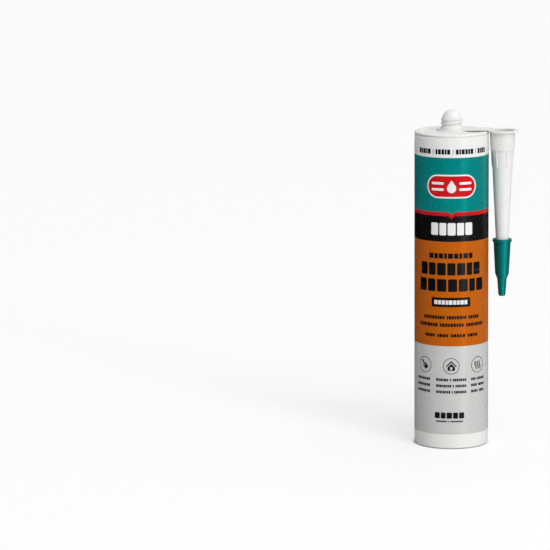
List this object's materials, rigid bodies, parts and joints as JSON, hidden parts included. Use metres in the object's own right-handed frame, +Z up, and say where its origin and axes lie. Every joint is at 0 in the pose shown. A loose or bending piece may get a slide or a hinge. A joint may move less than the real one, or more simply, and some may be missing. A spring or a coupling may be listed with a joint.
{
  "type": "caulk tube",
  "caption": "Upright sealant cartridge with a printed film, a threaded domed neck, a follower piston and a tapered nozzle with a closing cap, hung from the neck by a moulded ring and strap.",
  "frame": {"origin": "on the tube's axis, on the surface the cartridge stands on", "axes": "+Z up along the tube's axis towards the neck, +X towards the hanging nozzle, -Y the printed front"},
  "size_m": [0.0704, 0.0503, 0.2292],
  "materials": {
    "cartridge": "satin white polyethylene",
    "label": "printed film in orange, grey, black, red and teal fields",
    "piston": "natural polyethylene",
    "sealant": "smooth white paste",
    "nozzle": "satin white polyethylene",
    "nozzle_cap": "glossy teal plastic"
  },
  "bodies": {
    "cartridge": {"cartridge": "cartridge", "label": "label", "sealant": "sealant"},
    "piston": {"piston": "piston"},
    "nozzle": {"nozzle": "nozzle"},
    "nozzle_cap": {"nozzle_cap": "nozzle_cap"}
  },
  "joints": [
    {"name": "piston_slide", "type": "slide", "parent": "cartridge", "child": "piston", "axis": [0, 0, 1], "range_m": [0, 0.18], "deforming": ["sealant"]},
    {"name": "nozzle_swivel", "type": "hinge", "parent": "cartridge", "child": "nozzle", "pos_m": [0, 0, 0.2155], "axis": [0, 0, 1], "continuous": true},
    {"name": "cap_pull", "type": "slide", "parent": "nozzle", "child": "nozzle_cap", "axis": [0, 0, -1], "range_m": [0, 0.04]}
  ]
}
